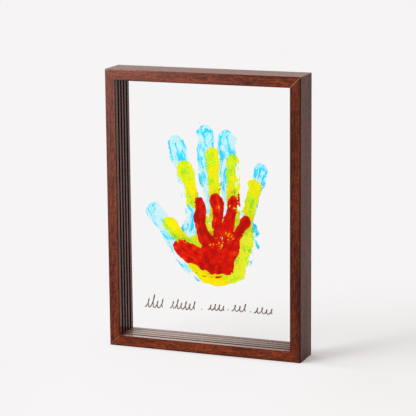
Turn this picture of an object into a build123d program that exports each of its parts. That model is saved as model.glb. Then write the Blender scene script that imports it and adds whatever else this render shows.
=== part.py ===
from build123d import *
import os
from math import cos, radians, sin

# Free-standing display frame. Clear panes stand one behind the other in the grooves of a deep
# mitred wooden frame, and handprints painted on the panes nest into one picture.
# Millimetres, Z up, the front faces -Y, the origin is at the middle of the underside.

# Panes: A4 sheets of clear acrylic, named from the front to the back
PANE_NAMES = ("front_pane", "second_pane", "third_pane", "rear_pane")
PANE_WIDTH = 210.0
PANE_HEIGHT = 297.0
PANE_THICKNESS = 2.5
PANE_PITCH = 7.5
PANE_CHAMFER = 0.3

# Room for a pane in its grooves: at each face, at each upright edge and above it.
# The lower edge stands on the groove's floor.
FACE_CLEARANCE = 0.3
SIDE_CLEARANCE = 0.5
TOP_CLEARANCE = 1.0

# Moulding: solid wood behind the grooves, the grooves, and the lips in front of and behind them
WALL = 7.0
GROOVE_DEPTH = 5.2
LIP = 6.2
EDGE_RADIUS = 0.8
GROOVE_EASE = 0.3

# Steel V-nails across the glued bottom mitres, driven in from the back, one behind the other
V_NAIL_COUNT = 2
V_NAIL_LEG = 4.0
V_NAIL_GAUGE = 0.5
V_NAIL_HEIGHT = 10.0
V_NAIL_SINK = 0.5

# Steel pins that stand in the stiles and locate the top rail, one in each lip
PIN_DIAMETER = 2.5
PIN_EMBED = 8.0
PIN_STAND = 4.0
PIN_CHAMFER = 0.4
PIN_CLEARANCE = 0.1
PIN_END_ROOM = 0.5

# Disc magnets let into the top mitres, a pair in each face, facing each other
MAGNET_DIAMETER = 4.0
MAGNET_THICKNESS = 1.5
MAGNET_SPACING = 14.0
MAGNET_RECESS = 0.1

# Handprints: films of dried paint on the front faces of the panes, heel of the hand downwards.
# For each: its heel, across and up from the frame's underside, its length from there to the longest
# fingertip, the width of its fingers and, thumb first, where its tips are, across and up from the heel as
# shares of the length, and how many degrees its digits lean to the right
PAINT_FILM = 0.2
RED_ACROSS = 12.0
RED_UP = 89.0
RED_LENGTH = 91.0
RED_FINGER_WIDTH = 14.0
RED_TIP_SHARES = ((-0.54, 0.35), (-0.21, 0.94), (0.03, 1.00), (0.24, 0.99), (0.43, 0.74))
RED_LEAN_ANGLES = (-61, -8, -2, 9, 33)
YELLOW_ACROSS = 7.5
YELLOW_UP = 75.5
YELLOW_LENGTH = 152.5
YELLOW_FINGER_WIDTH = 15.5
YELLOW_TIP_SHARES = ((-0.38, 0.47), (-0.24, 0.91), (-0.01, 1.00), (0.15, 0.97), (0.33, 0.79))
YELLOW_LEAN_ANGLES = (-45, -16, -4, -1, 12)
BLUE_ACROSS = -1.5
BLUE_UP = 76.0
BLUE_LENGTH = 176.0
BLUE_FINGER_WIDTH = 19.0
BLUE_TIP_SHARES = ((-0.39, 0.485), (-0.225, 0.925), (-0.01, 1.00), (0.14, 0.96), (0.365, 0.775))
BLUE_LEAN_ANGLES = (-35, -15, -4, 0, 17)
# Common proportions of a right hand, thumb first: how far below its tip a digit is rooted in the palm, as a
# share of the hand's length, and its share of the fingers' width
DIGIT_SHARES = ((0.46, 1.08), (0.53, 1.02), (0.56, 1.00), (0.54, 0.95), (0.43, 0.82))
# Pads of the palm as shares of the hand's length: across, up and radius
PALM_PAD_SHARES = (
    (-0.08, 0.43, 0.075),
    (0.235, 0.41, 0.075),
    (0.20, 0.31, 0.10),
    (0.11, 0.135, 0.125),
    (-0.035, 0.105, 0.105),
    (-0.11, 0.175, 0.11),
)
# A digit's waist at its last joint: its place along the digit and its width, as shares of the digit's own
WAIST_PLACE_RATIO = 0.62
WAIST_WIDTH_RATIO = 0.9

# Sizes that follow
FACE_WIDTH = WALL + GROOVE_DEPTH
GROOVE_WIDTH = PANE_THICKNESS + 2 * FACE_CLEARANCE
GROOVE_SPAN = PANE_PITCH * (len(PANE_NAMES) - 1)
FRAME_WIDTH = PANE_WIDTH + 2 * (SIDE_CLEARANCE + WALL)
FRAME_HEIGHT = PANE_HEIGHT + TOP_CLEARANCE + 2 * WALL
FRAME_DEPTH = GROOVE_SPAN + GROOVE_WIDTH + 2 * LIP
PANE_PLACES = {name: PANE_PITCH * number - GROOVE_SPAN / 2 for number, name in enumerate(PANE_NAMES)}
RED_SIZES = (RED_ACROSS, RED_UP, RED_LENGTH, RED_FINGER_WIDTH)
YELLOW_SIZES = (YELLOW_ACROSS, YELLOW_UP, YELLOW_LENGTH, YELLOW_FINGER_WIDTH)
BLUE_SIZES = (BLUE_ACROSS, BLUE_UP, BLUE_LENGTH, BLUE_FINGER_WIDTH)
HANDS = {
    "red_handprint": ("front_pane", *RED_SIZES, RED_TIP_SHARES, RED_LEAN_ANGLES),
    "yellow_handprint": ("second_pane", *YELLOW_SIZES, YELLOW_TIP_SHARES, YELLOW_LEAN_ANGLES),
    "blue_handprint": ("third_pane", *BLUE_SIZES, BLUE_TIP_SHARES, BLUE_LEAN_ANGLES),
}

UPWARD = (Align.CENTER, Align.CENTER, Align.MIN)
DOWNWARD = (Align.CENTER, Align.CENTER, Align.MAX)


def moulding(length):
    """One side of the frame as the bottom rail lies: outer face down, grooves up, both ends mitred."""
    section = Pos(0, FACE_WIDTH / 2) * Rectangle(FRAME_DEPTH, FACE_WIDTH)
    for place in PANE_PLACES.values():
        section -= Pos(place, FACE_WIDTH - GROOVE_DEPTH / 2) * Rectangle(GROOVE_WIDTH, GROOVE_DEPTH)
    groove_mouths = section.vertices().group_by(Axis.Y)[-1].sort_by(Axis.X)[1:-1]
    section = chamfer(groove_mouths, GROOVE_EASE)
    sides = section.vertices().group_by(Axis.X)
    section = fillet(sides[0] + sides[-1], EDGE_RADIUS)
    bar = extrude(Plane.YZ * section, length / 2, both=True)
    for end in (-1, 1):
        mitre = Plane(origin=(end * length / 2, 0, 0), z_dir=(end, 0, 1))
        bar = split(bar, bisect_by=mitre, keep=Keep.BOTTOM)
    return bar


def v_nail(start, height):
    """Steel angle across the bottom left mitre, from a depth below the back face over a height."""
    deep = (Align.MIN, Align.MAX, Align.MIN)
    flat_leg = Box(V_NAIL_LEG, height, V_NAIL_GAUGE, align=deep)
    upright_leg = Box(V_NAIL_GAUGE, height, V_NAIL_LEG, align=deep)
    inset = (WALL - V_NAIL_GAUGE) / 2
    return Pos(inset - FRAME_WIDTH / 2, FRAME_DEPTH / 2 - start, inset) * (flat_leg + upright_leg)


def left_pins(radius, end_room, end_chamfer):
    """Upright pins through the top left mitre, one in each lip, or the holes for them."""
    length = PIN_EMBED + PIN_STAND + end_room
    pin = Cylinder(radius, length, align=UPWARD)
    if end_chamfer:
        pin = chamfer(pin.edges().group_by(Axis.Z)[-1], end_chamfer)
    across = (FACE_WIDTH - FRAME_WIDTH) / 2
    foot = FRAME_HEIGHT - FACE_WIDTH / 2 - PIN_EMBED
    lip_middle = (FRAME_DEPTH - LIP) / 2
    return [Pos(across, place, foot) * pin for place in (-lip_middle, lip_middle)]


def left_magnets(recess, thickness, way):
    """Discs square to the top left mitre, from a recess below it, into the rail (UPWARD) or the stile."""
    inset = WALL / 2
    sink = recess if way is UPWARD else -recess
    discs = []
    for place in (-MAGNET_SPACING / 2, MAGNET_SPACING / 2):
        mitre = Plane(
            origin=(inset - FRAME_WIDTH / 2, place, FRAME_HEIGHT - inset), x_dir=(0, 1, 0), z_dir=(1, 0, 1)
        )
        discs.append(mitre * Pos(0, 0, sink) * Cylinder(MAGNET_DIAMETER / 2, thickness, align=way))
    return discs


def capsule_hull(circles):
    """Face within the tight outline round circles, each given by its place across, its height and radius."""
    return make_hull([(Pos(across, up) * Circle(radius)).edge() for across, up, radius in circles])


def digit(tip, reach, width, lean):
    """Print of a finger or thumb, from its tip down to its root: two rounded pads that meet in a waist."""

    def pad(below_tip, pad_width):
        across = tip[0] - below_tip * sin(radians(lean))
        return (across, tip[1] - below_tip * cos(radians(lean)), pad_width / 2)

    waist = pad(reach * (1 - WAIST_PLACE_RATIO), width * WAIST_WIDTH_RATIO)
    return capsule_hull([pad(reach, width), waist]) + capsule_hull([waist, pad(width / 2, width)])


def handprint(pane_name, heel_across, heel_up, length, finger_width, tips, leans):
    """Film of paint in the shape of a right hand on the front face of a pane."""
    print_face = capsule_hull([[share * length for share in pad] for pad in PALM_PAD_SHARES])
    for (across, up), (reach, width), lean in zip(tips, DIGIT_SHARES, leans):
        print_face += digit((across * length, up * length), reach * length, width * finger_width, lean)
    pane_front = PANE_PLACES[pane_name] - PANE_THICKNESS / 2
    surface = Plane(origin=(heel_across, pane_front, heel_up), x_dir=(1, 0, 0), z_dir=(0, -1, 0))
    return extrude(surface * print_face, PAINT_FILM)


def pane(place):
    """Clear sheet that stands on the floor of its bottom groove, at a place in the frame's depth."""
    sheet = Box(PANE_WIDTH, PANE_THICKNESS, PANE_HEIGHT, align=UPWARD)
    return Pos(0, place, WALL) * chamfer(sheet.edges(), PANE_CHAMFER)


def right(shapes):
    """The same shapes on the right-hand side."""
    return [mirror(shape, about=Plane.YZ) for shape in shapes]


nodes = {name: [pane(place)] for name, place in PANE_PLACES.items()}
nodes.update({name: [handprint(*hand)] for name, hand in HANDS.items()})

# Bottom corners
nail_starts = [V_NAIL_SINK + V_NAIL_HEIGHT * number for number in range(V_NAIL_COUNT)]
left_nails = [v_nail(start, V_NAIL_HEIGHT) for start in nail_starts]
left_nail_slot = [v_nail(0, V_NAIL_SINK + V_NAIL_HEIGHT * V_NAIL_COUNT)]
nodes["bottom_left_v_nails"] = left_nails
nodes["bottom_right_v_nails"] = right(left_nails)

# Top corners
pins = left_pins(PIN_DIAMETER / 2, 0, PIN_CHAMFER)
tight_holes = left_pins(PIN_DIAMETER / 2, PIN_END_ROOM, 0)
loose_holes = left_pins(PIN_DIAMETER / 2 + PIN_CLEARANCE, PIN_END_ROOM, 0)
nodes["left_locating_pins"] = pins
nodes["right_locating_pins"] = right(pins)
stile_magnets = left_magnets(MAGNET_RECESS, MAGNET_THICKNESS, DOWNWARD)
rail_magnets = left_magnets(MAGNET_RECESS, MAGNET_THICKNESS, UPWARD)
stile_pockets = left_magnets(0, MAGNET_RECESS + MAGNET_THICKNESS, DOWNWARD)
rail_pockets = left_magnets(0, MAGNET_RECESS + MAGNET_THICKNESS, UPWARD)
nodes["left_stile_magnets"] = stile_magnets
nodes["right_stile_magnets"] = right(stile_magnets)
nodes["top_rail_left_magnets"] = rail_magnets
nodes["top_rail_right_magnets"] = right(rail_magnets)

# Sides of the frame
bottom_rail = moulding(FRAME_WIDTH) - left_nail_slot - right(left_nail_slot)
top_sockets = loose_holes + rail_pockets
top_rail = Location((0, 0, FRAME_HEIGHT), (0, 180, 0)) * moulding(FRAME_WIDTH)
top_rail = top_rail - top_sockets - right(top_sockets)
left_stile = Location((-FRAME_WIDTH / 2, 0, FRAME_HEIGHT / 2), (0, 90, 0)) * moulding(FRAME_HEIGHT)
left_stile = left_stile - left_nail_slot - tight_holes - stile_pockets
nodes["bottom_rail"] = [bottom_rail]
nodes["top_rail"] = [top_rail]
nodes["left_stile"] = [left_stile]
nodes["right_stile"] = right([left_stile])

os.makedirs("parts", exist_ok=True)
for name, shapes in nodes.items():
    solids = [solid for shape in shapes for solid in shape.solids()]
    export_step(Compound(children=solids, label=name), f"parts/{name}.step")
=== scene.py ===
from math import cos, pi, radians, sin
from random import Random
from typing import NamedTuple

import bmesh
import bpy
from bpy.props import FloatProperty, FloatVectorProperty, PointerProperty
from mathutils import Matrix, Quaternion, Vector, noise
from mathutils.bvhtree import BVHTree
from mathutils.geometry import intersect_point_line


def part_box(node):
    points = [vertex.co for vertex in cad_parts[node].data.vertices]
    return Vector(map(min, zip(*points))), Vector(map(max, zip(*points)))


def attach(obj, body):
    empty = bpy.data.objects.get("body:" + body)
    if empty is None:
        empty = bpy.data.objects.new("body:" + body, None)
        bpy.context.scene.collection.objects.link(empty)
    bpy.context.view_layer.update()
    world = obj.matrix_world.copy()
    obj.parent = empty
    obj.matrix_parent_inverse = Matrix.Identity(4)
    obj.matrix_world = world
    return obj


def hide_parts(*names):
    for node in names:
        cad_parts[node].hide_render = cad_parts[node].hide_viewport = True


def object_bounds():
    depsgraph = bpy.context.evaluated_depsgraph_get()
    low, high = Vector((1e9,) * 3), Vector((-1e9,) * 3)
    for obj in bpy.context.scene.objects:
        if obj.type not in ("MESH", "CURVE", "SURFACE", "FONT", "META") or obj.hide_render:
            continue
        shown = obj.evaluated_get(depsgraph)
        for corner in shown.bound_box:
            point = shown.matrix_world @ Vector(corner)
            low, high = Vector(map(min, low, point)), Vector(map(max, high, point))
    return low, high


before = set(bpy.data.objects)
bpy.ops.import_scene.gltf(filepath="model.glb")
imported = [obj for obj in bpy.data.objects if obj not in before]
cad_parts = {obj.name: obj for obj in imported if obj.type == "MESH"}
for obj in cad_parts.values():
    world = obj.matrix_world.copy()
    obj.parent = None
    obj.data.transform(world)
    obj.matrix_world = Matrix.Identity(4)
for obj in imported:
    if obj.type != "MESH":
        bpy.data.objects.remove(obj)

bl_info = {
    "name": "Layered handprint frame",
    "version": (1, 0, 0),
    "blender": (4, 5, 0),
    "location": "View3D > Sidebar > Handprint frame",
    "description": "Finishes a deep wooden frame, its clear panes and the handprints painted on them",
    "category": "Object",
}

# Sizes read from the frame, in metres
CAD_LOW, CAD_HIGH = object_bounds()
FRAME_SIZE = CAD_HIGH - CAD_LOW
TOP_RAIL_LOW, TOP_RAIL_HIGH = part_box("top_rail")
FACE_WIDTH = TOP_RAIL_HIGH.z - TOP_RAIL_LOW.z
FRONT_PANE_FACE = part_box("front_pane")[0].y
PANE_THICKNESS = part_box("front_pane")[1].y - FRONT_PANE_FACE
PANE_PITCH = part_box("second_pane")[0].y - FRONT_PANE_FACE

MM = 0.001
UPRIGHT_GRAIN = (0.0, radians(90), 0.0)
LEVEL_GRAIN = (0.0, 0.0, 0.0)


class SideLook(NamedTuple):
    """How the wood of one side of the frame looks."""

    grain_turn: tuple
    pattern_start: tuple  # in millimetres
    tone: float  # how light the stain is; below 1 it is painted shade
    low_mitre: float  # how plain the mitre line is at the low end
    high_mitre: float  # and at the high end
    land_polish: float  # how much the lands between the grooves shine
    painted_sheen: float  # how much painted sheen its face that looks up gets
    edge_shade: str  # which of its long edges carries painted shade


# The stiles' lower tones are painted shade, deepest on the right stile
FRAME_SIDES = {
    "left_stile": SideLook(UPRIGHT_GRAIN, (0, 0, 0), 0.82, 0.55, 0.35, 0.3, 0.0, "Inner edge"),
    "right_stile": SideLook(UPRIGHT_GRAIN, (410, 70, 0), 0.63, 0.1, 1.0, 0.4, 0.0, "Outer edge"),
    "bottom_rail": SideLook(LEVEL_GRAIN, (0, 140, 90), 1.0, 0.55, 0.1, 1.0, 1.0, "Outer edge"),
    "top_rail": SideLook(LEVEL_GRAIN, (700, 210, 30), 1.0, 0.35, 1.0, 0.4, 0.32, "Inner edge"),
}
PANES = ("front_pane", "second_pane", "third_pane", "rear_pane")
V_NAILS = ("bottom_left_v_nails", "bottom_right_v_nails")
LOCATING_PINS = ("left_locating_pins", "right_locating_pins")
MITRE_MAGNETS = (
    "left_stile_magnets", "right_stile_magnets", "top_rail_left_magnets", "top_rail_right_magnets",
)


class Metal(NamedTuple):
    """How one kind of small metal piece looks."""

    nodes: tuple
    bright: tuple
    dull: tuple
    roughness: float
    mark_sizes: tuple  # of the marks of its working, in millimetres


METALS = {
    "zinc plate": Metal(V_NAILS, (0.6, 0.61, 0.63), (0.4, 0.41, 0.43), 0.35, (0.3, 3.0, 0.3)),
    "ground steel": Metal(LOCATING_PINS, (0.66, 0.66, 0.68), (0.5, 0.5, 0.52), 0.22, (1.5, 1.5, 0.08)),
    "nickel plate": Metal(MITRE_MAGNETS, (0.75, 0.73, 0.69), (0.6, 0.58, 0.54), 0.12, (0.6, 0.6, 0.6)),
}


# Node helpers

def fill(tree, made, values):
    """Sets a node's inputs, by name or number, to plain values or links them to other nodes' outputs."""
    for socket, value in values.items():
        if isinstance(value, bpy.types.NodeSocket):
            tree.links.new(value, made.inputs[socket])
        else:
            made.inputs[socket].default_value = value


def add(tree, kind, values=None, **settings):
    """A new shader node with its settings and inputs."""
    made = tree.nodes.new("ShaderNode" + kind)
    for name, value in settings.items():
        setattr(made, name, value)
    fill(tree, made, values or {})
    return made


def calc(tree, operation, *values):
    """Result of a Math node."""
    return add(tree, "Math", dict(enumerate(values)), operation=operation).outputs[0]


def times(tree, first, second):
    """Product of two values."""
    return calc(tree, "MULTIPLY", first, second)


def minus(tree, first, second):
    """Difference of two values."""
    return calc(tree, "SUBTRACT", first, second)


def from_border(tree, half, value):
    """How far a value is from the nearer of two borders, at half and minus half."""
    return minus(tree, half, calc(tree, "ABSOLUTE", value))


def total(tree, *weighted):
    """Sum of values, each given with its weight."""
    result = 0.0
    for value, weight in weighted:
        result = calc(tree, "MULTIPLY_ADD", value, weight, result)
    return result


def fade(tree, value, start, end, low=0.0, high=1.0):
    """Smooth step from low to high while a value goes from start to end."""
    values = {"Value": value, "From Min": start, "From Max": end, "To Min": low, "To Max": high}
    return add(tree, "MapRange", values, interpolation_type="SMOOTHSTEP").outputs[0]


def tint(tree, factor, first, second):
    """Colour between two colours."""
    return add(tree, "Mix", {0: factor, 6: first, 7: second}, data_type="RGBA").outputs[2]


def blend(tree, share, first, second):
    """Shader between two shaders."""
    return add(tree, "MixShader", {0: share, 1: first.outputs[0], 2: second.outputs[0]})


def speckle(tree, place, sizes, detail=2.0, roughness=0.5):
    """Noise whose blots have about these sizes along X, Y and Z, in the units of the place."""
    scaled = add(tree, "VectorMath", {0: place, 1: tuple(1 / size for size in sizes)}, operation="MULTIPLY")
    values = {"Vector": scaled.outputs[0], "Scale": 1.0, "Detail": detail, "Roughness": roughness}
    return add(tree, "TexNoise", values).outputs[0]


def rgba(colour):
    """A colour property as a node's colour."""
    return (*colour, 1.0)


def new_group(name, inputs, outputs):
    """An empty node group, and its own sockets inside."""
    tree = bpy.data.node_groups.new(name, "ShaderNodeTree")
    for socket, kind in inputs.items():
        tree.interface.new_socket(socket, in_out="INPUT", socket_type="NodeSocket" + kind)
    for socket, kind in outputs.items():
        tree.interface.new_socket(socket, in_out="OUTPUT", socket_type="NodeSocket" + kind)
    return tree, tree.nodes.new("NodeGroupInput").outputs, tree.nodes.new("NodeGroupOutput").inputs


def use_group(tree, group, values):
    """Places a node group and gives its outputs."""
    made = tree.nodes.new("ShaderNodeGroup")
    made.node_tree = group
    fill(tree, made, values)
    return made.outputs


def new_material(name):
    """An empty material, its node tree and the socket that its shader goes to."""
    material = bpy.data.materials.new(name)
    material.use_nodes = True
    tree = material.node_tree
    tree.nodes.clear()
    return material, tree, tree.nodes.new("ShaderNodeOutputMaterial").inputs["Surface"]


def object_place(tree):
    """Place on the piece, in millimetres."""
    metres = add(tree, "TexCoord").outputs["Object"]
    return add(tree, "Mapping", {"Vector": metres, "Scale": (1 / MM,) * 3}).outputs[0]


def bump(tree, height, strength, distance):
    """Normal of a surface with a fine relief."""
    return add(tree, "Bump", {"Strength": strength, "Distance": distance, "Height": height}).outputs[0]


def dress(node_names, material):
    """Gives CAD nodes a material."""
    for name in node_names:
        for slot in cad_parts[name].material_slots:
            slot.material = material


# Wood

def frame_outline_group(edge_band, mitre_line):
    """Which part of the frame a place is on, each from 0 to 1. Lengths are in millimetres."""
    parts = ("Edge", "Inner edge", "Outer edge", "Mitre", "Groove shade", "Land", "Painted sheen", "Upper left")
    tree, given, wanted = new_group("Frame outline", {"Place": "Vector"}, dict.fromkeys(parts, "Float"))
    place = add(tree, "SeparateXYZ", {0: given["Place"]}).outputs
    half = FRAME_SIZE / 2 / MM
    face_width = FACE_WIDTH / MM

    # How far the place is from the sides, faces, edges and mitres
    middle_up = minus(tree, place["Z"], half.z)
    from_side = from_border(tree, half.x, place["X"])
    from_end = from_border(tree, half.z, middle_up)
    from_face = from_border(tree, half.y, place["Y"])
    from_outside = calc(tree, "MINIMUM", from_side, from_end)
    from_inside = calc(tree, "ABSOLUTE", minus(tree, face_width, from_outside))
    from_inner_edge = calc(tree, "MAXIMUM", from_face, from_inside)
    from_outer_edge = calc(tree, "MAXIMUM", from_face, from_outside)
    from_edge = calc(tree, "MINIMUM", from_inner_edge, from_outer_edge)
    from_mitre = calc(tree, "ABSOLUTE", minus(tree, from_side, from_end))
    below_surface = calc(tree, "MINIMUM", from_face, from_outside)
    on_surface = fade(tree, below_surface, 0.4, 0.1)

    # Painted shade in the grooves and along their rounded mouths
    half_pitch = PANE_PITCH / 2 / MM
    half_pane = PANE_THICKNESS / 2 / MM
    half_mouth = half_pane + 0.6
    behind_first = minus(tree, place["Y"], FRONT_PANE_FACE / MM + half_pane)
    from_groove = calc(tree, "ABSOLUTE", calc(tree, "WRAP", behind_first, half_pitch, -half_pitch))
    inner = fade(tree, from_inside, 0.3, 0.1)
    within = fade(tree, below_surface, 0.3, 0.8)
    deep = times(tree, fade(tree, from_outside, face_width - 0.05, face_width - 0.3), within)
    lip = times(tree, fade(tree, from_groove, half_mouth + 0.5, half_mouth), inner)
    mouth = times(tree, lip, fade(tree, from_face, half_pitch, half_pitch + 1.0))
    in_groove = times(tree, deep, fade(tree, from_mitre, 0.1, 0.3))
    groove_shade = calc(tree, "MAXIMUM", in_groove, mouth)

    # Polish towards the upper left: on the lands between the grooves, and on the front and sides
    up_left = total(tree, (place["X"], -0.5 / half.x), (middle_up, 0.5 / half.z))
    lit = fade(tree, up_left, -1.1, 0.0, 0.3, 1.0)
    land = times(tree, minus(tree, inner, mouth), lit)
    end_face = fade(tree, from_end, 0.4, 0.0)
    inside = calc(tree, "MAXIMUM", inner, deep)
    front_or_side = minus(tree, 1.0, calc(tree, "MAXIMUM", end_face, inside))

    # Painted sheen on the top, and inside on the bottom, where it leaves the corners and the rear lip clear;
    # in the grooves it grows towards the rear and the upper left
    above = calc(tree, "GREATER_THAN", middle_up, 0.0)
    to_rear = fade(tree, behind_first, 0.0, 4 * half_pitch, 0.25, 1.0)
    before_rear_lip = fade(tree, behind_first, 7 * half_pitch, 6 * half_pitch)
    out_of_corner = times(tree, before_rear_lip, fade(tree, from_mitre, 2.0, 9.0))
    sheen_on_lands = times(tree, land, out_of_corner)
    sheen_in_grooves = times(tree, groove_shade, times(tree, to_rear, lit))
    sheen_inside = calc(tree, "MAXIMUM", sheen_on_lands, sheen_in_grooves)
    fill(tree, wanted[0].node, {
        "Edge": fade(tree, from_edge, edge_band, 0.0),
        "Inner edge": fade(tree, from_inner_edge, edge_band / 2, edge_band / 4),
        "Outer edge": fade(tree, from_outer_edge, 0.8 * edge_band, 0.4 * edge_band),
        "Mitre": times(tree, fade(tree, from_mitre, mitre_line, 0.0), on_surface),
        "Groove shade": groove_shade,
        "Land": land,
        "Painted sheen": fade(tree, above, 0.0, 1.0, sheen_inside, end_face),
        "Upper left": times(tree, fade(tree, up_left, 0.0, 1.0), front_or_side),
    })
    return tree


def wood_grain_group():
    """Stained wood along X, in millimetres: drifting tone, mottling, fibres and short dark pores."""
    tree, given, wanted = new_group(
        "Wood grain",
        {"Grain": "Vector", "Dark": "Color", "Light": "Color", "Pore": "Color"},
        {"Color": "Color", "Roughness": "Float", "Height": "Float"},
    )
    grain = given["Grain"]
    drift = speckle(tree, grain, (120.0, 9.0, 9.0))
    mottle = speckle(tree, grain, (7.0, 1.8, 1.8), 3.0, 0.6)
    fibre = speckle(tree, grain, (14.0, 0.6, 0.6))
    pores = fade(tree, speckle(tree, grain, (2.6, 0.7, 0.7), 1.0), 0.5, 0.66)
    tone = fade(tree, total(tree, (drift, 0.3), (mottle, 0.35), (fibre, 0.35)), 0.36, 0.64)
    stained = tint(tree, tone, given["Dark"], given["Light"])
    fill(tree, wanted[0].node, {
        "Color": tint(tree, times(tree, pores, 0.8), stained, given["Pore"]),
        "Roughness": total(tree, (fibre, 0.16), (pores, 0.12), (0.27, 1.0)),
        "Height": total(tree, (fibre, 0.35), (pores, -1.0)),
    })
    return tree


def wood_material(side, look, grain_group, outline_group):
    """Satin stained wood of one side, with darker edges, painted shade in the grooves and along one edge, a
    tone that is painted shade where it is below 1, pale mitre lines and painted sheen on the faces that look
    up.
    """
    own = FRAME_SIDES[side]
    upright = own.grain_turn is UPRIGHT_GRAIN
    material, tree, surface = new_material("stained wood " + side.replace("_", " "))
    place = object_place(tree)
    turned = {"Vector": place, "Rotation": own.grain_turn, "Location": own.pattern_start}
    wood = use_group(tree, grain_group, {
        "Grain": add(tree, "Mapping", turned).outputs[0],
        # A tone below 1 darkens the stain as painted shade
        "Dark": rgba(own.tone * Vector(look.dark)),
        "Light": rgba(own.tone * Vector(look.light)),
        "Pore": rgba(look.pore),
    })
    outline = use_group(tree, outline_group, {"Place": place})
    along = add(tree, "SeparateXYZ", {0: place}).outputs["Z" if upright else "X"]
    low, high = (end.z / MM if upright else end.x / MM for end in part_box(side))
    mitre_strength = fade(tree, along, low, high, own.low_mitre, own.high_mitre)
    edge = times(tree, outline["Edge"], look.edge_strength)
    mitre = times(tree, outline["Mitre"], mitre_strength)
    colour = tint(tree, edge, wood["Color"], rgba(look.edge))
    colour = tint(tree, mitre, colour, rgba(look.mitre))
    # Painted shade: a near black colour in the grooves and at their mouths
    colour = tint(tree, outline["Groove shade"], colour, rgba(look.groove_shade))
    # Painted sheen: a pale colour on the faces that look up
    if own.painted_sheen:
        colour = tint(tree, times(tree, outline["Painted sheen"], own.painted_sheen), colour, rgba(look.painted_sheen))
    # Painted shade along the long edge that turns away from the upper left
    edge_shade = times(tree, outline[own.edge_shade], look.edge_strength)
    land = times(tree, outline["Land"], own.land_polish)
    plain = minus(tree, 1.0, edge_shade)
    polish = calc(tree, "MAXIMUM", land, times(tree, outline["Upper left"], look.polish))
    shader = add(tree, "BsdfPrincipled", {
        "Base Color": tint(tree, edge_shade, colour, rgba(look.edge_shade)),
        "Roughness": wood["Roughness"],
        "Specular IOR Level": look.shine,
        "Coat Weight": times(tree, polish, plain),
        "Coat Roughness": 0.15,
        "Normal": bump(tree, wood["Height"], 0.25, 0.1 * MM),
    })
    tree.links.new(shader.outputs[0], surface)
    return material


# Clear panes

def acrylic_material(pane, look):
    """Clear sheet that mirrors only at a slant, with faint wiping marks and pale sawn edges."""
    material, tree, surface = new_material("clear acrylic " + pane.replace("_", " "))
    place = object_place(tree)
    parts = add(tree, "SeparateXYZ", {0: place}).outputs
    low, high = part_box(pane)
    half = (high - low) / 2 / MM
    middle = (high + low) / 2 / MM
    from_side = from_border(tree, half.x, parts["X"])
    middle_up = minus(tree, parts["Z"], middle.z)
    from_end = from_border(tree, half.z, middle_up)
    sawn = fade(tree, calc(tree, "MINIMUM", from_side, from_end), 0.5, 0.2)
    wiping = speckle(tree, place, (60.0, 60.0, 14.0), 4.0, 0.6)
    leaving = add(tree, "NewGeometry").outputs["Backfacing"]
    bend = fade(tree, leaving, 0.0, 1.0, look.bend, 1 / look.bend)
    mirrored = minus(tree, add(tree, "Fresnel", {"IOR": bend}).outputs[0], look.calm)
    share = calc(tree, "MAXIMUM", times(tree, mirrored, look.shine), 0.0)
    solid = calc(tree, "MAXIMUM", share, times(tree, sawn, look.edge))
    clear = add(tree, "BsdfTransparent", {"Color": rgba(look.tint)})
    sheet = add(tree, "BsdfPrincipled", {
        "Base Color": tint(tree, wiping, rgba(look.sheen), rgba(look.tint)),
        "Roughness": fade(tree, wiping, 0.4, 0.8, 0.03, look.haze),
        "IOR": look.bend,
    })
    both = blend(tree, solid, clear, sheet)
    tree.links.new(both.outputs[0], surface)
    return material


# Small metal pieces

def plated_metal_material(name, metal):
    """Metal with fine marks of its working and dull clouds."""
    material, tree, surface = new_material(name)
    place = object_place(tree)
    marks = speckle(tree, place, metal.mark_sizes)
    clouds = speckle(tree, place, (2.5, 2.5, 2.5), 3.0)
    shader = add(tree, "BsdfPrincipled", {
        "Base Color": tint(tree, fade(tree, clouds, 0.35, 0.7), rgba(metal.bright), rgba(metal.dull)),
        "Metallic": 1.0,
        "Roughness": total(tree, (marks, 0.2), (clouds, 0.1), (metal.roughness, 1.0)),
        "Normal": bump(tree, marks, 0.15, 0.02 * MM),
    })
    tree.links.new(shader.outputs[0], surface)
    return material


# Paint

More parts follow.
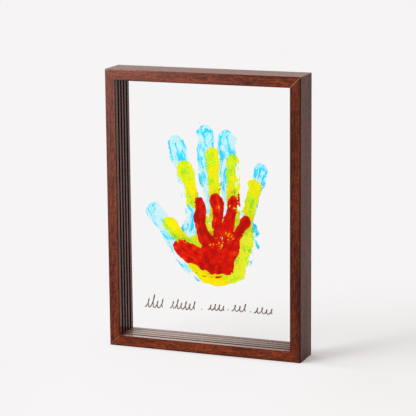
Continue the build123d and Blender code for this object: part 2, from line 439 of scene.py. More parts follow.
# How each handprint lies on its pane, in millimetres. A finger is a line from its tip to its root, the
# thumb first. Fills widen the CAD outline: a reach, and the two ends of a line. Load is how much paint there
# is. It grows towards the top by load_up, and blots, broad strokes, thin streaks and the left rims change it.
# The pane stays bare where the load is below bare. A dab adds or takes paint: its strength, its reach, and
# the two ends of its line. Flecks is how broken a dab is that takes paint. Drops lie beyond each fingertip.
# Cover is how much the paint hides with no load and with a full one.
PRINTS = {
    "red": {
        "node": "red_handprint", "pane": "front_pane", "body": "front_layer", "slot": "red_paint",
        "fingers": (
            ((-38, 123), (-8, 108)), ((-6, 175), (3, 135)), ((15, 180), (14, 135)), ((34, 179), (24, 135)),
            ((51, 156), (33, 128)),
        ),
        "fills": (
            (10.5, (-27, 117), (-14, 110)), (1.5, (40, 180), (41, 168)), (0.3, (-13, 92), (-2, 87)),
            (0.2, (-2, 87), (10, 85)), (0.3, (10, 85), (22, 88)), (6, (-5, 165), (-6, 150)),
            (5, (-5, 146), (-2, 128)), (4.5, (6, 132), (10, 130)),
        ),
        "load": 0.84, "load_up": 0.0, "blots": 0.6, "strokes": 0.5, "streaks": 0.0, "left_rims": 0.0,
        "bare": 0.12, "flecks": 1.0, "drops": 2, "cover": (0.2, 0.78),
        "dabs": (
            (0.2, 5, (-7, 170), (0, 135)), (0.2, 4, (51, 153), (44, 140)), (0.2, 6, (0, 98), (14, 92)),
            (-0.4, 8, (15, 142), (16, 126)), (-0.9, 5, (13, 136), (16, 130)),
            (-0.9, 5, (26, 130), (31, 133)), (-0.6, 3, (8, 121), (21, 122)),
            (-0.9, 5, (-36, 125), (-22, 123)), (-0.9, 6, (31, 178), (34, 170)),
            (-0.7, 3, (-8, 94), (26, 86)), (0.7, 4, (6, 136), (9, 131)), (-0.75, 1.2, (13, 97), (22, 112)),
            (-0.6, 1.2, (11, 106), (18, 111)), (-0.6, 1, (3, 100), (12, 108)),
            (-0.5, 1, (-18, 112), (-6, 103)), (0.3, 3, (-2, 112), (8, 96)),
        ),
    },
    "yellow": {
        "node": "yellow_handprint", "pane": "second_pane", "body": "second_layer", "slot": "yellow_paint",
        "fingers": (
            ((-50, 146), (-18, 110)), ((-27, 215), (-5, 150)), ((7, 228), (9, 155)), ((30, 223), (22, 152)),
            ((55, 197), (38, 140)),
        ),
        "fills": (
            (8, (-43, 140), (-36, 132)), (8.5, (-25, 207), (-17, 175)), (7.5, (53, 188), (46, 165)),
            (5, (49, 126), (48, 117)), (4, (46, 107), (41, 96)),
        ),
        "load": 0.65, "load_up": 0.0, "blots": 0.4, "strokes": 0.4, "streaks": 0.0, "left_rims": 0.0,
        "bare": -0.25, "flecks": 0.0, "drops": 1, "cover": (0.2, 0.97),
        "dabs": (
            (0.4, 6, (-4, 81), (16, 80)), (0.3, 6, (-40, 140), (-34, 136)),
            (-0.52, 12, (46, 128), (40, 98)), (-0.7, 5, (3, 148), (5, 141)),
            (-0.45, 5, (38, 153), (38, 145)), (-0.9, 3.5, (20, 196), (19, 178)),
            (-0.8, 3, (37, 212), (35, 182)), (-0.35, 7, (-28, 210), (-21, 197)),
            (-0.3, 5, (-22, 171), (-17, 162)), (-0.3, 4, (3, 219), (4, 189)),
            (-0.4, 6, (30, 220), (30, 205)), (-0.35, 6, (53, 174), (45, 158)),
            (-0.4, 6, (-51, 142), (-44, 126)), (-0.35, 7, (-32, 129), (-14, 119)),
            (-0.4, 6, (25, 88), (35, 83)), (-1.0, 3, (14, 135), (19, 124)),
            (-1.6, 6, (-21, 157), (-16, 135)), (-1.6, 2.5, (-23, 90), (-14, 82)),
            (-1.6, 2, (-14, 82), (-11, 77)), (-1.6, 3, (46, 188), (39, 164)),
        ),
    },
    "blue": {
        "node": "blue_handprint", "pane": "third_pane", "body": "third_layer", "slot": "blue_paint",
        "fingers": (
            ((-72, 163), (-38, 118)), ((-45, 240), (-22, 165)), ((-6, 252), (0, 170)),
            ((21, 246), (22, 168)), ((62, 214), (44, 155)),
        ),
        "fills": (
            (9, (-5, 243), (-2, 190)), (9, (20, 238), (21, 190)), (3.5, (54, 142), (55, 135)),
            (2, (51, 134), (56, 121)), (5, (47, 118), (45, 102)), (4, (44, 99), (36, 87)),
            (3.5, (64, 200), (62, 190)),
        ),
        "load": 0.14, "load_up": 0.08, "blots": 0.2, "strokes": 0.15, "streaks": 1.0, "left_rims": 0.4,
        "bare": 0.02, "flecks": 0.3, "drops": 1, "cover": (0.03, 0.75),
        "dabs": (
            (0.5, 4, (54, 142), (55, 137)), (0.7, 2, (50, 132), (57, 120)),
            (0.8, 1.2, (-26, 162), (-21, 157)), (0.5, 1.2, (-26, 141), (-24, 139)),
            (0.5, 1.3, (-6, 226), (2, 184)), (0.6, 2.5, (16, 222), (16, 217)),
            (0.6, 1.2, (54, 197), (55, 206)), (0.6, 1.2, (67, 192), (63, 186)),
            (-0.36, 14, (-30, 104), (-8, 88)), (-0.5, 12, (44, 128), (30, 92)),
            (0.6, 1, (-47, 233), (-42, 205)), (0.6, 1, (-39, 230), (-34, 208)),
            (0.5, 1, (-31, 222), (-24, 204)), (0.6, 1.2, (-13, 248), (-14, 222)),
            (0.6, 1.2, (-6, 244), (-3, 228)), (0.5, 1, (14, 240), (13, 215)),
            (0.6, 1.2, (21, 240), (25, 220)), (0.5, 1, (55, 206), (63, 210)),
            (-0.3, 4, (52, 116), (48, 98)), (-0.6, 5, (-35, 180), (-29, 152)),
            (0.5, 1, (-20, 156), (-20, 146)), (-0.12, 8, (-26, 146), (-18, 130)),
            (-0.4, 3, (-8, 194), (-10, 198)), (-0.5, 5, (0, 146), (3, 134)),
            (-0.5, 4, (35, 150), (36, 144)),
        ),
    },
}

# Sizes of the paint's unevenness, in millimetres
OUTLINE_SHIFT = 3.0
SHIFT_BLOT = 17.0
TEAR_BLOT = 13.0
WAVE_BLOT = 6.0
RAG_BLOT = 1.8
LOAD_BLOT = 7.0
STROKE_WIDTH = 2.4
STROKE_LENGTH = 30.0
LEFT_RIM = 2.0
DAB_SHIFT = 2.0
DAB_BLOT = 5.0
FLECK_LENGTH = 4.0
DROP_SIZES = (0.4, 0.9)
DROP_REACH = (2.0, 7.0)
DROP_TURN = 1.2  # in radians, to either side
FILM_MARGIN = 10.0  # room for paint outside the CAD outline
FILM_SHOULDER = 1.2  # how far in from its edge a film reaches its height
BARE_DEPTH = 6.0  # how deep within the paint a load of 1 above bare counts as


def smooth_mesh(shape, mesh):
    """Turns a closed shape into a mesh whose smooth faces look outwards."""
    bmesh.ops.recalc_face_normals(shape, faces=shape.faces[:])
    for face in shape.faces:
        face.smooth = True
    shape.to_mesh(mesh)
    shape.free()
    return mesh


class PrintOutline:
    """Outline of a CAD print, in millimetres on its pane."""

    def __init__(self, node):
        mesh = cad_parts[node].data
        corners = [vertex.co / MM for vertex in mesh.vertices]
        walls = [face.vertices for face in mesh.polygons if abs(face.normal.y) < 0.5]
        front = [face.vertices for face in mesh.polygons if face.normal.y < -0.5]
        self.low, self.high = (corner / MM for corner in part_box(node))
        self.walls = BVHTree.FromPolygons(corners, walls)
        self.front = BVHTree.FromPolygons(corners, front)

    def depth(self, spot):
        """How far a place lies within the outline, less than 0 outside it."""
        middle = Vector((spot.x, (self.low.y + self.high.y) / 2, spot.y))
        away = self.walls.find_nearest(middle)[3]
        struck = self.front.ray_cast(middle - Vector((0, 1, 0)), Vector((0, 1, 0)))[0]
        return away if struck else -away


def wander(spot, size, seed):
    """Smooth noise about 0 with blots of this size."""
    return noise.noise(Vector((spot.x / size, seed, spot.y / size)))


def with_line(rows):
    """Rows whose last two entries, the ends of a line, become vectors."""
    return [(*row, Vector(one), Vector(other)) for *row, one, other in rows]


class PaintedPrint:
    """One handprint as the paint lies: its outline drifts, its edge is torn in places, its load changes."""

    def __init__(self, style, seed):
        self.style = style
        self.seed = seed
        self.outline = PrintOutline(style["node"])
        self.fingers = with_line(style["fingers"])
        self.fills = with_line(style["fills"])
        self.dabs = with_line(style["dabs"])
        self.drops = []
        dice = Random(seed)
        for tip, root in self.fingers:
            for _ in range(style["drops"]):
                way = (tip - root).normalized()
                way.rotate(Matrix.Rotation(dice.uniform(-DROP_TURN, DROP_TURN), 2))
                self.drops.append((dice.uniform(*DROP_SIZES), tip + way * dice.uniform(*DROP_REACH)))

    def blur(self, spot, size, layer):
        """Smooth noise about 0 with blots of this size, different for each layer."""
        return wander(spot, size, self.seed + 20.0 * layer)

    def on_finger(self, spot):
        """How far right of the nearest finger's line a place is, and its share of the way to the root."""
        nearest, along = None, 0.0
        for tip, root in self.fingers:
            foot, share = intersect_point_line(spot, tip, root)
            away = spot - (tip if share < 0 else foot.to_2d())
            if nearest is None or away.length < abs(nearest):
                nearest = away.length if (tip - root).cross(away) < 0 else -away.length
                along = share
        return nearest, along

    def depth(self, spot):
        """How far a place lies within the paint."""
        torn = max(0.0, 0.3 + 2.5 * self.blur(spot, TEAR_BLOT, 1))
        ragged = 1.2 * self.blur(spot, WAVE_BLOT, 2) + 1.6 * torn * self.blur(spot, RAG_BLOT, 3)
        moved = spot + OUTLINE_SHIFT * self.drift(spot, SHIFT_BLOT)
        depth = self.outline.depth(moved)
        for reach, one, other in self.fills:
            depth = max(depth, reach - line_distance(moved, one, other))
        depth += ragged
        for size, place in self.drops:
            depth = max(depth, size - (spot - place).length)
        return depth

    def drift(self, spot, size):
        """A small step aside that changes smoothly from place to place."""
        return Vector((self.blur(spot, size, 4), self.blur(spot, size, 5)))

    def load(self, spot, depth):
        """How much paint lies at a place, about 0 to 1."""
        style = self.style
        low, high = self.outline.low, self.outline.high
        load = style["load"] + style["load_up"] * (spot.y - low.z) / (high.z - low.z)
        load += style["blots"] * self.blur(spot, LOAD_BLOT, 6)
        across, along = self.on_finger(spot)
        fingered = max(0.3, min(1.0, 2.0 - along))
        load += style["strokes"] * fingered * self.brushed(spot, across + 3.0 * self.blur(spot, 12.0, 7))
        strong = max(0.0, 0.5 + 1.8 * self.blur(spot, 11.0, 8))
        line = self.brushed(spot, depth + 0.4 * across + 4.0 * self.blur(spot, 9.0, 9))
        load += style["streaks"] * strong * max(0.0, 1.0 - abs(line) / 0.3)
        if across < 0:
            load += style["left_rims"] * strong * max(0.0, 1.0 - depth / LEFT_RIM)
        return self.dabbed(load, spot, across)

    def dabbed(self, load, spot, across):
        """A load with what the dabs add or take at a place."""
        beside = spot + DAB_SHIFT * self.drift(spot, DAB_BLOT)
        broken = max(0.0, 4.0 * self.brushed(spot, across, FLECK_LENGTH) - 0.1)
        for strength, reach, one, other in self.dabs:
            mark = max(0.0, min(1.0, 1.5 - line_distance(beside, one, other) / reach))
            if strength < 0:
                mark *= 1.0 + self.style["flecks"] * (broken - 1.0)
            load += strength * mark * mark * (3 - 2 * mark)
        return load

    def brushed(self, spot, line, length=STROKE_LENGTH):
        """Streaks of this length that follow the lines on which a value stays the same."""
        return noise.noise(Vector((line / STROKE_WIDTH, spot.x / length + self.seed, spot.y / length)))


def line_distance(spot, one, other):
    """How far a place is from a short line."""
    foot, share = intersect_point_line(spot, one, other)
    end = one if share < 0 else other if share > 1 else foot.to_2d()
    return (spot - end).length


def film_mesh(style, look, seed):
    """Thin film of paint on the front of a pane, with a ragged edge, bare spots and a low relief."""
    painted = PaintedPrint(style, seed)
    low, high = painted.outline.low, painted.outline.high
    cell = look.cell / MM
    centre = (low + high) / 2
    size = high - low + Vector((2 * FILM_MARGIN,) * 3)
    film = bmesh.new()
    bmesh.ops.create_grid(film, x_segments=int(size.x / cell), y_segments=int(size.z / cell), size=0.5)
    depth_layer = film.verts.layers.float.new("depth")
    load_layer = film.verts.layers.float.new("load")
    for vert in film.verts:
        spot = Vector((centre.x + vert.co.x * size.x, centre.z + vert.co.y * size.z))
        vert.co = (spot.x, 0.0, spot.y)
        vert[depth_layer] = painted.depth(spot)
        if vert[depth_layer] > -2 * cell:
            vert[load_layer] = painted.load(spot, vert[depth_layer])
            from_bare = BARE_DEPTH * (vert[load_layer] - style["bare"])
            vert[depth_layer] = min(vert[depth_layer], from_bare)
    outside = [face for face in film.faces if sum(vert[depth_layer] for vert in face.verts) < 0]
    bmesh.ops.delete(film, geom=outside, context="FACES")
    draw_to_edge(film, depth_layer, cell)
    bmesh.ops.recalc_face_normals(film, faces=film.faces[:])
    raised = bmesh.ops.extrude_face_region(film, geom=film.faces[:], use_keep_orig=True)
    back = (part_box(style["pane"])[0].y - look.gap) / MM
    for vert in film.verts:
        vert.co.y = back
    for vert in raised["geom"]:
        if isinstance(vert, bmesh.types.BMVert):
            swell = max(0.0, min(1.0, vert[depth_layer] / FILM_SHOULDER))
            heap = max(0.0, min(1.0, vert[load_layer]))
            vert.co.y -= look.film / MM * (0.2 + swell * (0.3 + 0.5 * heap))
    bmesh.ops.scale(film, vec=(MM,) * 3, verts=film.verts[:])
    mesh = bpy.data.meshes.new(style["node"].replace("handprint", "paint_film"))
    return smooth_mesh(film, mesh)


def draw_to_edge(film, depth_layer, cell):
    """Draws the stepped rim of a cut grid onto the line where the paint's depth is nothing."""
    rim = [vert for vert in film.verts if vert.is_boundary]
    farthest = 0.6 * cell
    moves = {}
    for vert in rim:
        slope = Vector((0, 0, 0))
        for edge in vert.link_edges:
            other = edge.other_vert(vert)
            step = other.co - vert.co
            slope += step * (other[depth_layer] - vert[depth_layer]) / step.length_squared
        if slope.length > 0:
            reach = -vert[depth_layer] / max(slope.length, 0.4)
            moves[vert] = slope.normalized() * max(-farthest, min(farthest, reach))
    for vert, move in moves.items():
        vert.co += move
        vert[depth_layer] = 0.0
    bmesh.ops.smooth_vert(film, verts=rim, factor=0.5, use_axis_x=True, use_axis_z=True)


def dried_paint_group():
    """Dried finger paint: from thin over even to heaped its colour changes, and it gets smoother."""
    tree, given, wanted = new_group(
        "Dried paint",
        {"Place": "Vector", "Load": "Float", "Thin": "Color", "Even": "Color", "Heaped": "Color"},
        {"Color": "Color", "Roughness": "Float", "Height": "Float"},
    )
    smears = speckle(tree, given["Place"], (3.0, 3.0, 3.0))
    tone = total(tree, (given["Load"], 1.0), (smears, 0.5), (-0.25, 1.0))
    even = tint(tree, fade(tree, tone, 0.25, 0.75), given["Thin"], given["Even"])
    fill(tree, wanted[0].node, {
        "Color": tint(tree, fade(tree, tone, 0.75, 1.2), even, given["Heaped"]),
        "Roughness": fade(tree, tone, 0.2, 1.0, 0.55, 0.35),
        "Height": tone,
    })
    return tree


def paint_material(colour, look, group, cover):
    """Finger paint that covers what is behind it, least where it is thin, and tints what shows through."""
    material, tree, surface = new_material(colour + " finger paint")
    load = add(tree, "Attribute", attribute_name="load").outputs["Fac"]
    laid = use_group(tree, group, {
        "Place": object_place(tree),
        "Load": load,
        "Thin": rgba(getattr(look, colour + "_thin")),
        "Even": rgba(getattr(look, colour)),
        "Heaped": rgba(getattr(look, colour + "_heaped")),
    })
    body = add(tree, "BsdfPrincipled", {
        "Base Color": laid["Color"],
        "Roughness": laid["Roughness"],
        "Specular IOR Level": 0.04,
        "Normal": bump(tree, laid["Height"], 0.12, 0.1 * MM),
    })
    through = add(tree, "BsdfTransparent", {"Color": rgba(getattr(look, colour + "_glaze"))})
    covered = fade(tree, load, 0.0, 1.0, *cover)
    film = blend(tree, covered, through, body)
    tree.links.new(film.outputs[0], surface)
    return material


# Pen flourish

# Pen scrawls, in millimetres: left and right end, level of the line, and the height of each loop
SCRAWLS = (
    (-72, -50, 46, (10, 15, 8, 11)),
    (-42, -12, 47, (8, 11, 7, 9, 7, 10)),
    (3, 23, 49, (6, 7, 7, 6)),
    (31, 48, 50, (7, 6, 9)),
    (57, 79, 50, (6, 7, 5, 6)),
)
DOTS = ((-4, 49), (27, 51), (53, 51))
LOOP_STEPS = 12
LOOP_SWING = 0.24  # how far a loop swings aside, as a share of its width
PEN_SLANT = 0.25  # how far the loops lean, as a share of their height


def scrawl_line(left, right, level, heights):
    """Places along a row of uneven pen loops, in millimetres."""
    pitch = (right - left) / len(heights)
    places = []
    for loop, height in enumerate(heights):
        for step in range(LOOP_STEPS):
            turn = 2 * pi * step / LOOP_STEPS
            rise = height * (1 - cos(turn)) / 2
            along = loop + step / LOOP_STEPS + LOOP_SWING * sin(turn)
            places.append((left + pitch * along + PEN_SLANT * rise, level + rise))
    return places


def dot_line(across, level):
    """Places of a pen dot, in millimetres."""
    return [(across + step, level + 0.2 * step) for step in (-0.6, -0.3, 0.0, 0.3, 0.6)]


def ink_mesh(look):
    """Raised ink of the pen lines on the front pane."""
    pen = bpy.data.curves.new("pen", "CURVE")
    pen.dimensions = "3D"
    pen.bevel_depth = look.stroke / 2
    pen.bevel_resolution = 2
    pen.use_fill_caps = True
    scrawls = [scrawl_line(*scrawl) for scrawl in SCRAWLS]
    dots = [dot_line(*dot) for dot in DOTS]
    for places in scrawls + dots:
        line = pen.splines.new("NURBS")
        line.points.add(len(places) - 1)
        for point, (across, up) in zip(line.points, places):
            point.co = (across * MM, 0.0, up * MM, 1.0)
            pressure = wander(Vector((across, up)), 6.0, 3.0)
            point.radius = 1.0 + 0.35 * pressure
        line.order_u = 3
        line.use_endpoint_u = True
    drawn = bpy.data.objects.new("pen", pen)
    mesh = bpy.data.meshes.new_from_object(drawn)
    mesh.name = "pen_flourish"
    bpy.data.objects.remove(drawn)
    ink = bmesh.new()
    ink.from_mesh(mesh)
    bmesh.ops.remove_doubles(ink, verts=ink.verts[:], dist=0.001 * MM)
    flat = look.film / look.stroke
    bmesh.ops.scale(ink, vec=(1.0, flat, 1.0), verts=ink.verts[:])
    depth = FRONT_PANE_FACE - look.film / 2 - look.gap
    bmesh.ops.translate(ink, vec=(0.0, depth, 0.0), verts=ink.verts[:])
    return smooth_mesh(ink, mesh)


def ink_material(look):
    """Brown pen ink, paler where the pen ran quickly."""
    material, tree, surface = new_material("brown ink")
    place = object_place(tree)
    flow = fade(tree, speckle(tree, place, (5.0, 5.0, 5.0), 3.0, 0.6), 0.3, 0.7)
    grains = speckle(tree, place, (0.4, 0.4, 0.4))
    ink = add(tree, "BsdfPrincipled", {
        "Base Color": tint(tree, flow, rgba(look.ink), rgba(look.ink_pale)),
        "Roughness": total(tree, (grains, 0.2), (0.45, 1.0)),
        "Alpha": fade(tree, total(tree, (flow, -0.4), (grains, 0.4)), -0.3, 0.2, 0.6, 0.95),
        "Normal": bump(tree, grains, 0.2, 0.05 * MM),
    })
    tree.links.new(ink.outputs[0], surface)
    return material


def put(name, data):
    """A new object in the scene."""
    made = bpy.data.objects.new(name, data)
    bpy.context.scene.collection.objects.link(made)
    return made


def new_piece(name, mesh, material, body):
    """Puts a mesh into the scene as a piece that moves with a body."""
    piece = put(name, mesh)
    mesh.materials.append(material)
    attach(piece, body)
    return piece


# Stage

def seen_directly(tree):
    """1 for what the camera sees, also mirrored, and 0 for light that falls on things."""
    path = add(tree, "LightPath").outputs
    return calc(tree, "MAXIMUM", path["Is Camera Ray"], path["Is Glossy Ray"])


def floor_material(look):
    """Matt near the shadow, and fading to the backdrop's plain colour in front of the frame and far off."""
    material, tree, surface = new_material("pale floor")
    matt = add(tree, "BsdfDiffuse", {"Color": rgba(look.floor)})
    glow = add(tree, "Emission", {"Color": rgba(look.backdrop)})
    place = add(tree, "TexCoord").outputs["Object"]
    to_shadow = {0: place, 1: look.shadow_place}
    away = add(tree, "VectorMath", to_shadow, operation="DISTANCE").outputs["Value"]
    far = fade(tree, away, look.shadow_reach, 3 * look.shadow_reach)
    parts = add(tree, "SeparateXYZ", {0: place}).outputs
    in_front = fade(tree, parts["Y"], CAD_LOW.y / 2, 1.5 * CAD_LOW.y)
    glow_across = fade(tree, parts["X"], CAD_HIGH.x, 2 * CAD_HIGH.x, look.front_glow, look.front_glow / 3)
    plain = calc(tree, "MAXIMUM", far, times(tree, in_front, glow_across))
    share = times(tree, seen_directly(tree), plain)
    both = blend(tree, share, matt, glow)
    tree.links.new(both.outputs[0], surface)
    return material


def lay_floor(look):
    """Wide pale floor just below the object, which keeps its shadow."""
    shape = bmesh.new()
    bmesh.ops.create_grid(shape, x_segments=1, y_segments=1, size=look.floor_reach)
    bmesh.ops.translate(shape, vec=(0.0, 0.0, CAD_LOW.z - 0.05 * MM), verts=shape.verts[:])
    mesh = bpy.data.meshes.new("floor")
    shape.to_mesh(mesh)
    shape.free()
    mesh.materials.append(floor_material(look))
    floor = put("floor", mesh)


def light_world(look):
    """Soft light from all round, stronger from above, in front of a pale backdrop."""
    world = bpy.data.worlds.new("studio")
    world.use_nodes = True
    tree = world.node_tree
    tree.nodes.clear()
    height = add(tree, "SeparateXYZ", {0: add(tree, "TexCoord").outputs["Generated"]}).outputs["Z"]
    strength = fade(tree, height, 0.0, 1.0, look.ambient, look.overhead)
    soft = add(tree, "Background", {"Color": rgba(look.backdrop), "Strength": strength})
    pale = add(tree, "Background", {"Color": rgba(look.backdrop)})
    both = blend(tree, seen_directly(tree), soft, pale)
    tree.links.new(both.outputs[0], tree.nodes.new("ShaderNodeOutputWorld").inputs["Surface"])
    bpy.context.scene.world = world


def hang_lamp(name, place, size, power):
    """Round soft lamp aimed at the middle of the frame."""
    light = bpy.data.lights.new(name, "AREA")
    light.shape = "DISK"
    light.size = size
    light.energy = power
    lamp = put(name, light)
    lamp.location = place
    aim = Vector((0.0, 0.0, FRAME_SIZE.z / 2)) - lamp.location
    lamp.rotation_euler = aim.to_track_quat("-Z", "Y").to_euler()


def set_camera(look):
    """Camera at the right of the front, a little above the frame."""
    turn, rise = look.camera_turn, look.camera_rise
    back = Vector((sin(turn) * cos(rise), -cos(turn) * cos(rise), sin(rise)))
    lens = bpy.data.cameras.new("camera")
    lens.lens = look.focal_length
    camera = put("camera", lens)
    camera.location = Vector(look.camera_target) + back * look.camera_distance
    camera.rotation_mode = "QUATERNION"
    level = (-back).to_track_quat("-Z", "Y")
    camera.rotation_quaternion = Quaternion(back, look.camera_roll) @ level
    bpy.context.scene.camera = camera


# Settings

def settings_of(kind, **limits):
    """A maker of settings of one kind, each with its own name, description and default."""
    def make(name, description, default):
        return kind(name=name, description=description, default=default, **limits)
    return make


# Lengths and places are in metres, and angles in radians
a_colour = settings_of(FloatVectorProperty, subtype="COLOR", min=0.0, max=1.0)
a_place = settings_of(FloatVectorProperty, subtype="XYZ")
a_length = settings_of(FloatProperty, unit="LENGTH", precision=5)
an_angle = settings_of(FloatProperty, subtype="ANGLE")
a_share = settings_of(FloatProperty, subtype="FACTOR", min=0.0, max=1.0)
a_number = settings_of(FloatProperty)


class WoodLook(bpy.types.PropertyGroup):
    """Stain and shine of the wood"""

    dark: a_colour("Dark", "Stain in the dark figure", (0.035, 0.006, 0.0018))
    light: a_colour("Light", "Stain in the light figure", (0.26, 0.045, 0.014))
    pore: a_colour("Pores", "Short dark pores", (0.016, 0.007, 0.006))
    edge: a_colour("Edges", "Stain gathered along the edges", (0.058, 0.007, 0.0024))
    # Colour of the painted shade along one edge
    edge_shade: a_colour("Edge shade", "Painted shade along one edge", (0.012, 0.002, 0.001))
    # Near black colour of the painted shade in the grooves
    groove_shade: a_colour("Shaded grooves", "Wood within the grooves", (0.004, 0.002, 0.002))
    # Colour of the painted sheen on the faces that look up
    painted_sheen: a_colour("Painted sheen", "Dust on the faces that look up", (0.37, 0.265, 0.215))
    mitre: a_colour("Mitre", "Bare wood along a mitre", (0.47, 0.19, 0.105))
    edge_strength: a_share("Edge strength", "How much the edges differ from the faces", 0.8)
    edge_band: a_length("Edge band", "Width of the darker edges", 2.0 * MM)
    mitre_line: a_length("Mitre line", "Width of a mitre's pale line", 0.5 * MM)
    shine: a_share("Shine", "Strength of the mirrored light", 0.08)
    polish: a_share("Polish", "Strength of the polish at the upper left", 0.9)


class AcrylicLook(bpy.types.PropertyGroup):
    """Tint and polish of the panes"""

    tint: a_colour("Tint", "Colour of light that passes a pane", (0.9994, 1.0, 0.9997))
    sheen: a_colour("Sheen", "Colour of the sheet where it isn't clear", (0.8, 0.87, 0.86))
    haze: a_share("Haze", "Roughness of the wiping marks", 0.15)
    shine: a_share("Shine", "Strength of what the sheet mirrors at a slant", 0.6)
    calm: a_share("Calm", "Mirrored share that the sheet's coating takes away", 0.046)
    edge: a_share("Edge", "How solid the sawn edges look", 0.5)
    bend: a_number("Bend", "Refractive index of the sheet", 1.49)


class PaintLook(bpy.types.PropertyGroup):
    """Colours and thickness of the painted handprints"""

    red: a_colour("Red", "Red paint", (0.57, 0.004, 0.002))
    red_heaped: a_colour("Heaped red", "Thick red paint", (0.35, 0.003, 0.002))
    red_thin: a_colour("Thin red", "Thin red paint", (0.8, 0.03, 0.007))
    red_glaze: a_colour("Red glaze", "Light that passes the red paint", (0.95, 0.3, 0.05))
    yellow: a_colour("Yellow", "Yellow paint", (0.72, 0.66, 0.0))
    yellow_heaped: a_colour("Heaped yellow", "Thick yellow paint", (0.82, 0.66, 0.0))
    yellow_thin: a_colour("Thin yellow", "Thin yellow paint", (0.56, 0.72, 0.012))
    yellow_glaze: a_colour("Yellow glaze", "Light that passes the yellow paint", (0.97, 0.96, 0.2))
    blue: a_colour("Blue", "Blue paint", (0.0, 0.62, 0.92))
    blue_heaped: a_colour("Heaped blue", "Thick blue paint", (0.0, 0.57, 0.92))
    blue_thin: a_colour("Thin blue", "Thin blue paint", (0.03, 0.72, 0.92))
    blue_glaze: a_colour("Blue glaze", "Light that passes the blue paint", (0.9, 0.98, 1.0))
    film: a_length("Film", "Thickness of the paint", 0.2 * MM)
    gap: a_length("Gap", "Room between the paint and its pane", 0.02 * MM)
    cell: a_length("Cell", "Size of a film's facets", 0.6 * MM)


class PenLook(bpy.types.PropertyGroup):
    """Ink of the pen flourish"""

    ink: a_colour("Ink", "Brown ink", (0.075, 0.04, 0.027))
    ink_pale: a_colour("Pale ink", "Ink of a quick stroke", (0.2, 0.13, 0.095))
    stroke: a_length("Stroke", "Width of the pen's line", 1.25 * MM)
    film: a_length("Film", "Thickness of the ink", 0.1 * MM)
    gap: a_length("Gap", "Room between the ink and the pane", 0.01 * MM)


class StageLook(bpy.types.PropertyGroup):
    """Floor, light and camera"""

    floor: a_colour("Floor", "Colour of the floor", (0.7, 0.69, 0.687))
    backdrop: a_colour("Backdrop", "Colour of the surroundings", (0.92, 0.905, 0.905))
    front_glow: a_share("Front glow", "How plain the floor in front is", 0.85)
    floor_reach: a_length("Floor reach", "Half the width of the floor", 12.0)
    shadow_reach: a_length("Shadow reach", "How far the shadow is kept", 0.165)
    shadow_place: a_place("Shadow place", "Where the floor keeps the shadow", (0.3, -0.06, 0.0))
    ambient: a_number("Ambient", "Strength of the soft light from the sides", 0.43)
    overhead: a_number("Overhead", "Strength of the soft light from above", 1.45)
    softbox_power: a_number("Softbox", "Power of the large lamp in watts", 18.7)
    softbox_size: a_length("Softbox size", "Width of the large lamp", 1.8)
    softbox_place: a_place("Softbox place", "Where the large lamp hangs", (-1.3, -1.3, 1.1))
    near_power: a_number("Near lamp", "Power of the small lamp in watts", 4.25)
    near_size: a_length("Near lamp size", "Width of the small lamp", 0.35)
    near_place: a_place("Near lamp place", "Where the small lamp hangs", (-0.6, -0.9, 0.5))
    camera_turn: an_angle("Turn", "Camera's angle to the right of the front", radians(21.162))
    camera_rise: an_angle("Rise", "Camera's angle above the horizon", radians(11.687))
    camera_roll: an_angle("Roll", "Camera's turn about its view", radians(-0.532))
    camera_distance: a_length("Distance", "From the target to the camera", 2.0479)
    camera_target: a_place("Target", "Where the camera looks", (-0.00042, 0.0, 0.16066))
    focal_length: a_number("Focal length", "Lens in millimetres", 161.81)


class HandprintFrameLook(bpy.types.PropertyGroup):
    """All settings of the handprint frame"""

    wood: PointerProperty(name="Wood", description="Wood of the frame", type=WoodLook)
    acrylic: PointerProperty(name="Acrylic", description="Clear panes", type=AcrylicLook)
    paint: PointerProperty(name="Paint", description="Painted handprints", type=PaintLook)
    pen: PointerProperty(name="Pen", description="Pen flourish", type=PenLook)
    stage: PointerProperty(name="Stage", description="Floor, light and camera", type=StageLook)


# Operators

class HANDPRINT_OT_stain_wood(bpy.types.Operator):
    """Stain the four sides of the frame"""

    bl_idname = "handprint_frame.stain_wood"
    bl_label = "Stain the wood"

    def execute(self, context):
        look = context.scene.handprint_frame.wood
        grain = wood_grain_group()
        outline = frame_outline_group(look.edge_band / MM, look.mitre_line / MM)
        for side in FRAME_SIDES:
            dress([side], wood_material(side, look, grain, outline))
        return {"FINISHED"}


class HANDPRINT_OT_polish_panes(bpy.types.Operator):
    """Make the four panes clear acrylic"""

    bl_idname = "handprint_frame.polish_panes"
    bl_label = "Polish the panes"

    def execute(self, context):
        for name in PANES:
            dress([name], acrylic_material(name, context.scene.handprint_frame.acrylic))
            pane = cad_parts[name]
            pane.visible_shadow = False
            pane.visible_diffuse = False
            pane.visible_glossy = False
        return {"FINISHED"}


class HANDPRINT_OT_plate_fixings(bpy.types.Operator):
    """Finish the nails, pins and magnets in the mitres"""

    bl_idname = "handprint_frame.plate_fixings"
    bl_label = "Plate the fixings"

    def execute(self, context):
        for name, metal in METALS.items():
            dress(metal.nodes, plated_metal_material(name, metal))
        return {"FINISHED"}


class HANDPRINT_OT_paint_prints(bpy.types.Operator):
    """Paint the three handprints on their panes"""

    bl_idname = "handprint_frame.paint_prints"
    bl_label = "Paint the handprints"

    def execute(self, context):
        look = context.scene.handprint_frame.paint
        group = dried_paint_group()
        for number, (colour, style) in enumerate(PRINTS.items()):
            mesh = film_mesh(style, look, 10.0 * number)
            material = paint_material(colour, look, group, style["cover"])
            piece = new_piece(mesh.name, mesh, material, style["body"])
            piece.visible_shadow = False
            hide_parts(style["node"])
        return {"FINISHED"}


class HANDPRINT_OT_draw_flourish(bpy.types.Operator):
    """Draw the pen flourish under the handprints"""

    bl_idname = "handprint_frame.draw_flourish"
    bl_label = "Draw the flourish"

    def execute(self, context):
        look = context.scene.handprint_frame.pen
        new_piece("pen_flourish", ink_mesh(look), ink_material(look), "front_layer")
        return {"FINISHED"}


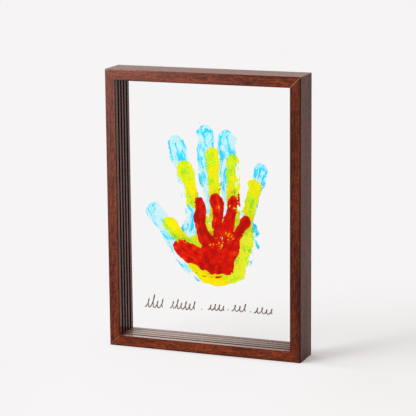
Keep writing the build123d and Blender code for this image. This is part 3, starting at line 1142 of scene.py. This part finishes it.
class HANDPRINT_OT_set_stage(bpy.types.Operator):
    """Lay the floor, hang the light and set the camera"""

    bl_idname = "handprint_frame.set_stage"
    bl_label = "Set the stage"

    def execute(self, context):
        look = context.scene.handprint_frame.stage
        lay_floor(look)
        light_world(look)
        hang_lamp("softbox", look.softbox_place, look.softbox_size, look.softbox_power)
        hang_lamp("near lamp", look.near_place, look.near_size, look.near_power)
        set_camera(look)
        context.scene.view_settings.view_transform = "Standard"
        context.scene.cycles.max_bounces = 24
        context.scene.cycles.transparent_max_bounces = 48
        return {"FINISHED"}


class HANDPRINT_PT_look(bpy.types.Panel):
    """Settings and steps of the handprint frame"""

    bl_idname = "HANDPRINT_PT_look"
    bl_label = "Handprint frame"
    bl_space_type = "VIEW_3D"
    bl_region_type = "UI"
    bl_category = "Handprint frame"

    def draw(self, context):
        settings = context.scene.handprint_frame
        for name in ("wood", "acrylic", "paint", "pen", "stage"):
            box = self.layout.box()
            box.label(text=name.capitalize())
            look = getattr(settings, name)
            for setting in look.__annotations__:
                box.prop(look, setting)
        for step in STEPS:
            self.layout.operator(step.bl_idname)


STEPS = (
    HANDPRINT_OT_stain_wood,
    HANDPRINT_OT_polish_panes,
    HANDPRINT_OT_plate_fixings,
    HANDPRINT_OT_paint_prints,
    HANDPRINT_OT_draw_flourish,
    HANDPRINT_OT_set_stage,
)
LOOKS = (WoodLook, AcrylicLook, PaintLook, PenLook, StageLook, HandprintFrameLook)


def register():
    for kind in (*LOOKS, *STEPS, HANDPRINT_PT_look):
        bpy.utils.register_class(kind)
    bpy.types.Scene.handprint_frame = PointerProperty(type=HandprintFrameLook)


def unregister():
    del bpy.types.Scene.handprint_frame
    for kind in reversed((*LOOKS, *STEPS, HANDPRINT_PT_look)):
        bpy.utils.unregister_class(kind)


def main():
    register()
    bpy.ops.handprint_frame.stain_wood()
    bpy.ops.handprint_frame.polish_panes()
    bpy.ops.handprint_frame.plate_fixings()
    bpy.ops.handprint_frame.paint_prints()
    bpy.ops.handprint_frame.draw_flourish()
    bpy.ops.handprint_frame.set_stage()


if __name__ == "__main__":
    main()
